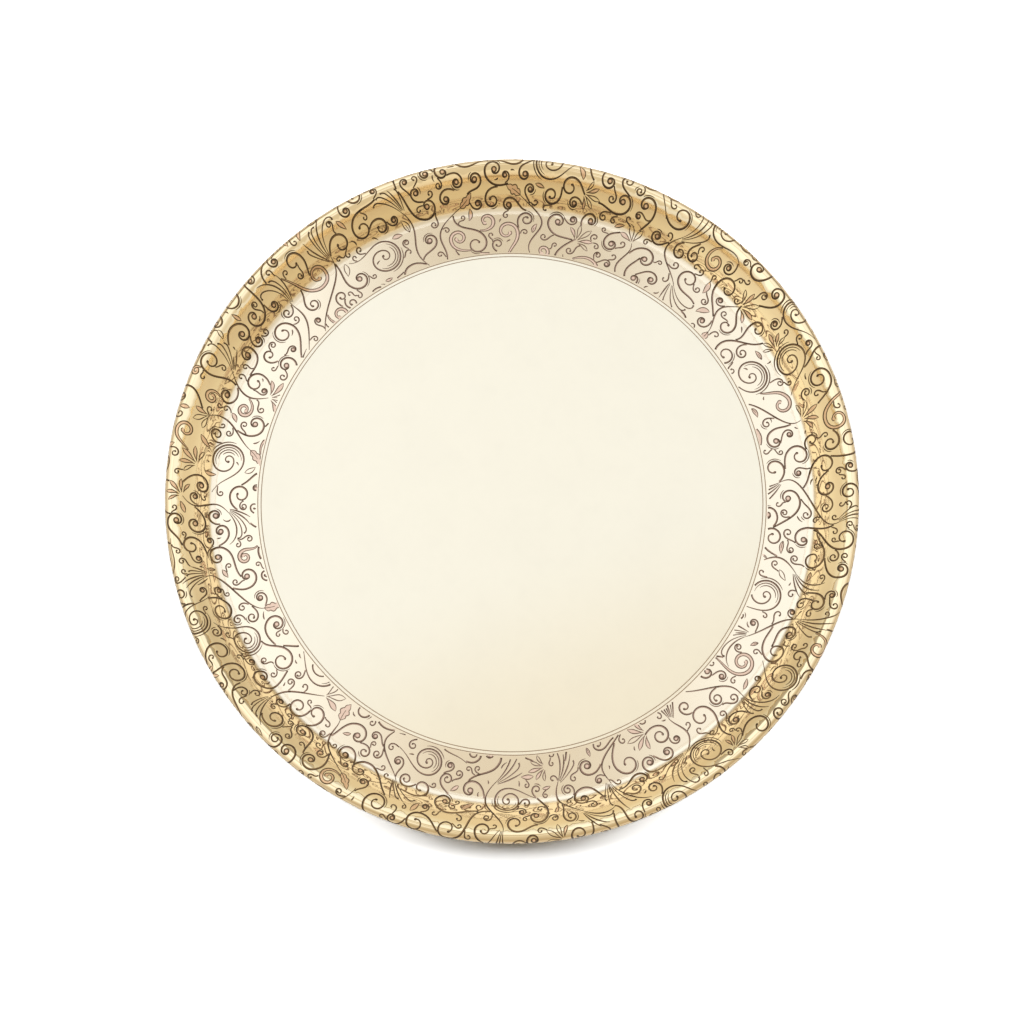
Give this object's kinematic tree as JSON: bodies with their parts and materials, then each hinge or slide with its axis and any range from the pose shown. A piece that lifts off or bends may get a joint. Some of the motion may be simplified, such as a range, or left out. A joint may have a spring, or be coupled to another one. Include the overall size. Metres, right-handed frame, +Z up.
{
  "type": "thali plate",
  "caption": "Round brass thali with a flat plain centre, an engraved scroll border, a flared sloping wall and a wired rolled edge.",
  "frame": {"origin": "middle of the flat underside, on the surface that the plate lies on", "axes": "+Z up out of the dish along its axis of revolution; the plate is round, so +X and +Y are free"},
  "size_m": [0.305, 0.305, 0.0234],
  "materials": {
    "dish_brass": "polished pale brass with darkened engraving on the border, wall and rolled edge, and a satin centre",
    "wire_steel": "drawn iron wire, dull"
  },
  "bodies": {
    "root": {"dish": "dish_brass", "rim_wire": "wire_steel"}
  },
  "joints": []
}
